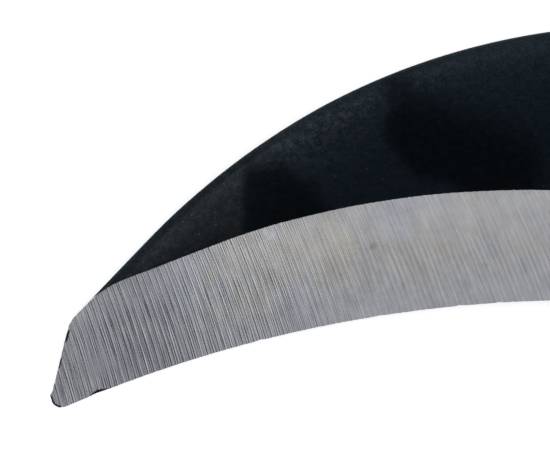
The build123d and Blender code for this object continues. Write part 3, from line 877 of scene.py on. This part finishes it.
def black_lacquer():
    """The forged faces: satin black with two painted dark reflections, rubbed grey near the spine, and
    dust.
    """
    paint = Paint("black_lacquer", specular=0.09)
    paint.shader.inputs["Specular Tint"].default_value = (0.76, 0.98, 1.12, 1.0)
    x, y, _ = paint.drawn(CANT)
    place = paint.vector(x, y)
    deep = painted_dark_reflections(paint, x, y)
    below_spine = paint.above(place, *SPINE_ARC) * -1.0
    smudge = paint.noise(paint.vector(x * 0.7, y), 0.9, detail=5.0, roughness=0.7)
    tone = lacquer_tone(paint, x, y, below_spine, smudge)
    # painted reflection: the lacquer is made much darker inside the two painted dark reflections
    tone *= paint.spread(deep, 0.0, 1.0, LACQUER_DEPTH, DARK_REFLECTION_SHARE * LACQUER_DEPTH)
    tint = paint.mix(paint.spread(x, -62, -45, smooth=True), TIP_LACQUER, NECK_LACQUER)
    tint = paint.mix(paint.spread(below_spine, 0.0, 8.0, 0.7, 0.0), tint, SPINE_LACQUER)
    colour = paint.mix(1.0, tint, tone, blend="MULTIPLY")
    worn = paint.noise(place, 0.8, detail=6.0, roughness=0.75)
    rubbed = paint.ramp(below_spine, RUBBED_DEPTH) * paint.spread(worn, 0.45, 0.66)
    rubbed *= paint.ramp(x, RUBBED_ALONG)
    rubbed *= paint.spread(deep, 0.0, 0.6, 0.6, 0.1)
    colour = paint.mix(rubbed, colour, RUBBED_LACQUER)
    dust = paint.specks(place, 0.75, 0.125, share=0.7)
    dust = paint.math("MULTIPLY", dust, paint.spread(x, -58.0, -44.0, 1.5, 0.5), clamp=True)
    dust *= paint.spread(deep, 0.0, 0.8, 1.0, 0.15)
    colour = paint.mix(dust, colour, DUST)
    dusty = paint.spread(below_spine, 2.0, 10.0, 1.0, 0.25) * paint.spread(worn, 0.35, 0.6, 0.2, 1.0)
    dusty *= paint.spread(deep, 0.0, 0.8, 0.9, 0.1)
    fine_dust = paint.specks(place, 1.25, 0.14, share=0.5) * dusty
    colour = paint.mix(fine_dust, colour, FINE_DUST)
    roughness = paint.spread(smudge, 0.3, 0.7, 0.26, 0.36)
    orange_peel = paint.noise(place, 1.6, detail=2.0)
    normal = paint.bump(orange_peel, 0.000006, strength=0.2)
    return paint.finish(colour, roughness, normal)


# ---------------- wood

RING = 1.9  # one year's growth, in millimetres
GRIP_VOXEL = 0.75  # how finely the handle is meshed
GRIP_DENTS = 16
GRIP_SHRINK = 0.18  # how far the handle's surface is worn in all over, so that it stays off the table
PORE_COLOUR, FLECK_COLOUR, END_COLOUR = (0.075, 0.036, 0.015), (0.13, 0.062, 0.026), (0.085, 0.043, 0.019)
GRIME_COLOUR, SCUFF_COLOUR = (0.11, 0.055, 0.025), (0.40, 0.26, 0.14)

# How much of the handle's grime there is along it, from the butt to the head
HANDLED = (
    (-390, 0.5), (-366, 0.4), (-330, 0.5), (-250, 0.42), (-150, 0.12), (-80, 0.2), (-60, 0.5), (-24, 0.6),
)


def knocks(places, ups, count, seed):
    """Small dents from use: how deep each point of a surface lies in one, in millimetres."""
    draw = random.Random(seed)
    deep = np.zeros(len(places))
    for _ in range(count):
        at = draw.randrange(len(places))
        radius, depth = draw.uniform(1.2, 3.2), draw.uniform(0.10, 0.28)
        stretch = np.array([1.0, draw.uniform(0.4, 1.0), 1.0])
        gap = np.linalg.norm((places - places[at]) * stretch, axis=1)
        faces_it = ups @ ups[at] > 0.5
        deep = np.maximum(deep, depth * faces_it * np.exp(-((gap / radius) ** 2) * 2))
    return deep


def grip_shift(places, ups):
    """How far planing, wear and knocks move the handle's surface in (-) or out (+)."""
    shift = np.zeros(len(places))
    for i, (x, y, z) in enumerate(places):
        facet = noise.noise(Vector((x * 0.21, y * 0.011, z * 0.21)))
        hand = noise.noise(Vector((x * 0.05, y * 0.022 + 40, z * 0.05)))
        rough = noise.noise(Vector((x * 0.5, y * 0.35, z * 0.5 + 9)))
        at_butt = max(0.0, 1 - (y - BUTT_Y) / 14)
        shift[i] = 0.13 * facet + 0.14 * hand + (0.015 + 0.11 * at_butt) * rough - GRIP_SHRINK
    on_grip = ease((SHOULDER_Y - 1.5 - places[:, 1]) / 14)
    at_hole = np.hypot(places[:, 0] - AXIS_X, places[:, 1] - HANG_Y)
    worn_rim = 0.22 * np.exp(-(((at_hole - HANG_RADIUS) / 1.3) ** 2)) * (np.abs(ups[:, 2]) > 0.5)
    return on_grip * (shift - worn_rim - knocks(places, ups, GRIP_DENTS, 7)) * (at_hole > HANG_RADIUS - 0.3)


def make_handle(wood):
    """The handle with a worn surface: a fine copy of its CAD shape, with each point moved a little."""
    rough = bpy.data.objects.new("handle_blank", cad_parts["handle"].data.copy())
    bpy.context.scene.collection.objects.link(rough)
    fine = rough.modifiers.new("fine", "REMESH")
    fine.mode, fine.voxel_size, fine.adaptivity = "VOXEL", GRIP_VOXEL * MM, 0.0
    soft = rough.modifiers.new("soft", "SMOOTH")
    soft.factor, soft.iterations = 0.5, 3
    data = bpy.data.meshes.new_from_object(rough.evaluated_get(bpy.context.evaluated_depsgraph_get()))
    bpy.data.objects.remove(rough)
    count = len(data.vertices)
    places, ups = np.zeros(count * 3), np.zeros(count * 3)
    data.vertices.foreach_get("co", places)
    data.vertex_normals.foreach_get("vector", ups)
    places, ups = places.reshape(-1, 3), ups.reshape(-1, 3)
    drawn = places / MM - np.array(ORIGIN)
    places += ups * grip_shift(drawn, ups)[:, None] * MM
    data.vertices.foreach_set("co", places.ravel())
    data.name = "handle_grip"
    data.materials.clear()
    data.materials.append(wood)
    data.shade_smooth()
    handle = bpy.data.objects.new("handle_grip", data)
    bpy.context.scene.collection.objects.link(handle)
    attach(handle, "root")
    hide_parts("handle")


def oiled_wood(name, pale, dark, heart, seed):
    """Straight-grained hardwood under worn oil: rings about the tree's heart, fibres, pores and flecks."""
    paint = Paint(name, specular=0.35)
    x, y, z = paint.drawn()
    along = y * 0.012 + seed

    def fibres(fine, stretch, detail=2.0):
        """Noise that runs along the grain: fine across it, and stretched so many times along it."""
        along_grain = y * fine / stretch + seed
        return paint.noise(paint.vector(x * fine, along_grain, z * fine), detail=detail)

    sway = paint.noise(paint.vector(along, seed, 0.0), 1.0, detail=1.0)
    trunk = paint.vector(sway * 9.0 + x, y * 0.04, z)
    from_heart = fibres(0.16, 9.0) * 2.6 + paint.distance(trunk, heart)
    years = from_heart / RING
    season = paint.math("FRACT", years)
    late = paint.math("POWER", season, 2.4)
    late *= paint.spread(season, 0.94, 1.0, 1.0, 0.0)
    lean_years = paint.noise(paint.vector(years * 0.7, along, seed), 1.0)
    late *= paint.spread(lean_years, 0.3, 0.7, 0.25, 1.15)
    streak = fibres(1.1, 26.0, detail=4.0) - 0.5
    share = paint.math("MULTIPLY_ADD", streak, 1.3, late, clamp=True)
    colour = paint.mix(share, pale, dark)
    broad = paint.spread(fibres(0.05, 4.0, detail=3.0), 0.35, 0.65, 0.80, 1.14)
    colour = paint.mix(1.0, colour, broad, blend="MULTIPLY")
    pores = paint.spread(fibres(3.4, 16.0), 0.60, 0.70)
    pores *= paint.spread(season, 0.0, 0.6, 1.0, 0.3)
    colour = paint.mix(pores * 0.6, colour, PORE_COLOUR)
    flecks = paint.spread(fibres(1.5, 6.0, detail=0.0), 0.68, 0.74)
    colour = paint.mix(flecks * 0.5, colour, FLECK_COLOUR)
    end_grain = paint.spread(paint.math("ABSOLUTE", paint.facing()[1]), 0.70, 0.97, smooth=True)
    colour = paint.mix(end_grain * 0.5, colour, END_COLOUR)
    place = paint.vector(x, y, z)
    hands = paint.noise(place, 0.045, detail=3.0)
    uneven = paint.spread(hands, 0.3, 0.7, 0.2, 1.3)
    grime = paint.math("MULTIPLY", paint.ramp(y, HANDLED), uneven, clamp=True)
    at_hole = paint.distance(paint.vector(x, y), (AXIS_X, HANG_Y, 0))
    grime = paint.larger(grime, paint.spread(at_hole, HANG_RADIUS, HANG_RADIUS + 3.0, 0.8, 0.0))
    colour = paint.mix(grime * 0.6, colour, GRIME_COLOUR)
    scuffs = paint.spread(paint.noise(place, 0.5, detail=4.0, distortion=1.5), 0.64, 0.72)
    colour = paint.mix(scuffs * 0.3, colour, SCUFF_COLOUR)
    roughness = paint.spread(grime * -0.4 + hands, 0.2, 0.6, 0.32, 0.55)
    relief = pores * -0.9 + share * 0.4
    relief += streak * 0.6
    normal = paint.bump(relief, 0.00007, strength=0.6)
    return paint.finish(colour, roughness, normal)


# ---------------- plain steel

DULL_STEEL, POLISHED_STEEL = (0.20, 0.20, 0.205), (0.36, 0.357, 0.35)
TARNISH, SCRATCHED = (0.105, 0.088, 0.074), (0.50, 0.49, 0.48)
PEENED_STEEL, OLD_DIRT = (0.38, 0.375, 0.37), (0.09, 0.07, 0.055)

# How tarnished the ferrule is at its two ends, along the handle
FERRULE_LIPS = ((-57, 1.0), (-56, 0.9), (-54.8, 0.1), (-41, 0.0), (-27, 0.1), (-25.8, 0.9), (-24, 1.0))


def ferrule_steel():
    """The drawn steel band: lines round it from polishing, tarnish, finger marks and a few scratches."""
    paint = Paint("ferrule_steel", metallic=1.0)
    x, y, z = paint.drawn()
    place = paint.vector(x, y, z)
    round_it = paint.vector(x * 0.12, y * 7.0, z * 0.12)
    lines = paint.noise(round_it, detail=3.0, roughness=0.7)
    tarnish = paint.noise(place, 0.14, detail=5.0, roughness=0.62)
    stain = paint.spread(tarnish, 0.42, 0.68)
    at_rivet = paint.distance(paint.vector(x, y), (RIVET_X, RIVET_Y, 0))
    stain = paint.larger(stain, paint.spread(at_rivet, 3.4, 5.0, 0.85, 0.0))
    lips = paint.ramp(y, FERRULE_LIPS) * paint.spread(tarnish, 0.3, 0.6, 0.3, 0.9)
    stain = paint.larger(stain, lips)
    bright = paint.mix(paint.spread(lines, 0.3, 0.7), DULL_STEEL, POLISHED_STEEL)
    colour = paint.mix(stain, bright, TARNISH)
    slanted = paint.vector(y * 0.5 + x, y * 0.06, z * 0.9)
    scratches = paint.spread(paint.noise(slanted, 3.0, detail=1.0), 0.70, 0.74)
    colour = paint.mix(scratches * 0.6, colour, SCRATCHED)
    roughness = stain * 0.16 + paint.spread(lines, 0.3, 0.7, 0.46, 0.36)
    normal = paint.bump(scratches * -1.0 + lines, 0.00002, strength=0.5)
    dents = paint.noise(place, 0.12, detail=1.0)
    normal = paint.bump(dents, 0.0003, strength=0.5, normal=normal)
    return paint.finish(colour, roughness, normal)


def hammered_steel(name, centre, rim):
    """A peened head: small flats from the hammer, bright on top and dark with old dirt at its rim."""
    paint = Paint(name, metallic=1.0)
    x, y, z = paint.drawn()
    place = paint.vector(x, y, z)
    flats = paint.tree.nodes.new("ShaderNodeTexVoronoi")
    flats.feature = "SMOOTH_F1"
    paint.put(flats.inputs["Vector"], place)
    paint.put(flats.inputs["Scale"], 1.0)
    paint.put(flats.inputs["Smoothness"], 0.4)
    out = paint.distance(place, centre)
    worn = paint.noise(place, 1.5, detail=4.0)
    dirt = paint.spread(out, rim * 0.75, rim) * 0.8
    dirt = paint.larger(dirt, paint.spread(worn, 0.5, 0.7) * 0.6)
    steel = paint.mix(paint.spread(worn, 0.3, 0.6), DULL_STEEL, PEENED_STEEL)
    colour = paint.mix(dirt, steel, OLD_DIRT)
    roughness = dirt * 0.2 + 0.38
    normal = paint.bump(flats.outputs["Distance"], 0.0002, strength=0.7)
    return paint.finish(colour, roughness, normal)


# ---------------- putting the sickle together


def dress(node, material):
    """Gives a CAD node one material."""
    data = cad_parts[node].data
    data.materials.clear()
    data.materials.append(material)


# Pale wood, dark wood, where the tree's heart is and a seed, for the handle and for the strip in its slot
HANDLE_WOOD = ((0.34, 0.19, 0.088), (0.155, 0.075, 0.031), (78.0, 0.0, -31.0), 3.0)
STRIP_WOOD = ((0.28, 0.15, 0.068), (0.14, 0.068, 0.029), (128.0, 0.0, -20.0), 8.0)

make_blade(black_lacquer(), ground_steel())
make_handle(oiled_wood("handle_wood", *HANDLE_WOOD))
dress("tang_strip", oiled_wood("strip_wood", *STRIP_WOOD))
dress("ferrule", ferrule_steel())
rivet_seat = (RIVET_X, RIVET_Y, FERRULE_HALF[1])
nail_seat = (AXIS_X + FERRULE_HALF[0], NAIL_Y, 0.0)
dress("tang_rivet", hammered_steel("rivet_steel", rivet_seat, RIVET_HEAD_RADIUS))
dress("ferrule_nail", hammered_steel("nail_steel", nail_seat, NAIL_HEAD_RADIUS))


# ---------------- floor, light and camera

VIEW_CENTRE = (-54.17, 12.5, BLADE_HALF)  # what the camera looks at, in the drawing
VIEW_WIDTH = 91.67  # how much of the drawing the picture is wide
CAMERA_DISTANCE, SENSOR = 1.5, 36.0
FLOOR_SIZE, FLOOR_GLOW = 60, 0.3  # the floor is a lit table, so that shadows on it stay faint
SKY = ((0.70, 0.95), (0.86, 0.80), (0.945, 0.45), (0.985, 0.06))  # how high, and how bright it is there
BOX_HEIGHT, BOX_SIZE, BOX_WATTS = 0.95, 1.7, 16.5  # of each soft box, in metres and watts
LIGHT_BOXES = {
    "left_box": (-1.9, 0.4),
    "right_box": (1.9, 0.4),
    "back_box": (0.2, 2.0),
    "front_box": (-0.2, -2.0),
}


def make_floor():
    """A plain pale table."""
    bpy.ops.mesh.primitive_plane_add(size=FLOOR_SIZE)
    floor = bpy.context.object
    floor.name = "floor"
    paint = Paint("floor_paper", roughness=0.9, specular=0.1)
    paint.shader.inputs["Emission Color"].default_value = (1.0, 1.0, 1.0, 1.0)
    paint.shader.inputs["Emission Strength"].default_value = FLOOR_GLOW
    floor.data.materials.append(paint.finish((0.9, 0.9, 0.9, 1.0)))


def make_light(name, x, y):
    """A square soft box that faces the sickle from one side."""
    data = bpy.data.lights.new(name, "AREA")
    data.shape, data.size, data.energy = "SQUARE", BOX_SIZE, BOX_WATTS
    lamp = bpy.data.objects.new(name, data)
    lamp.location = (x, y, BOX_HEIGHT)
    lamp.rotation_euler = (-Vector(lamp.location)).to_track_quat("-Z", "Y").to_euler()
    bpy.context.scene.collection.objects.link(lamp)


def make_sky():
    """A pale room that is dim straight overhead, so that flat steel stays dark when seen from above."""
    world = bpy.data.worlds.new("room")
    world.use_nodes = True
    bpy.context.scene.world = world
    tree = world.node_tree
    background = next(n for n in tree.nodes if n.type == "BACKGROUND")
    place = tree.nodes.new("ShaderNodeTexCoord")
    split = tree.nodes.new("ShaderNodeSeparateXYZ")
    ramp = tree.nodes.new("ShaderNodeValToRGB")
    tree.links.new(place.outputs["Generated"], split.inputs[0])
    tree.links.new(split.outputs[2], ramp.inputs[0])
    tree.links.new(ramp.outputs[0], background.inputs[0])
    stops = ramp.color_ramp.elements
    for position, grey in SKY:
        stop = stops.new(position)
        stop.color = (grey, grey, grey * 1.01, 1.0)
    stops.remove(stops[0])
    stops.remove(stops[-1])
    background.inputs[1].default_value = 1.0


def make_camera():
    """Looks square on to the blade's ground face from far off, at the front half of the blade."""
    data = bpy.data.cameras.new("camera")
    data.sensor_width = SENSOR
    data.lens = SENSOR * CAMERA_DISTANCE / (VIEW_WIDTH * MM)
    data.clip_start, data.clip_end = 0.1, 100
    camera = bpy.data.objects.new("camera", data)
    camera.rotation_euler = (0, -CANT, 0)
    away = Vector((-sin(CANT), 0, cos(CANT)))
    camera.location = to_row(VIEW_CENTRE, CANT) + away * CAMERA_DISTANCE
    bpy.context.scene.collection.objects.link(camera)
    bpy.context.scene.camera = camera


make_floor()
make_sky()
for box, (box_x, box_y) in LIGHT_BOXES.items():
    make_light(box, box_x, box_y)
make_camera()
bpy.context.scene.view_settings.view_transform = "Standard"
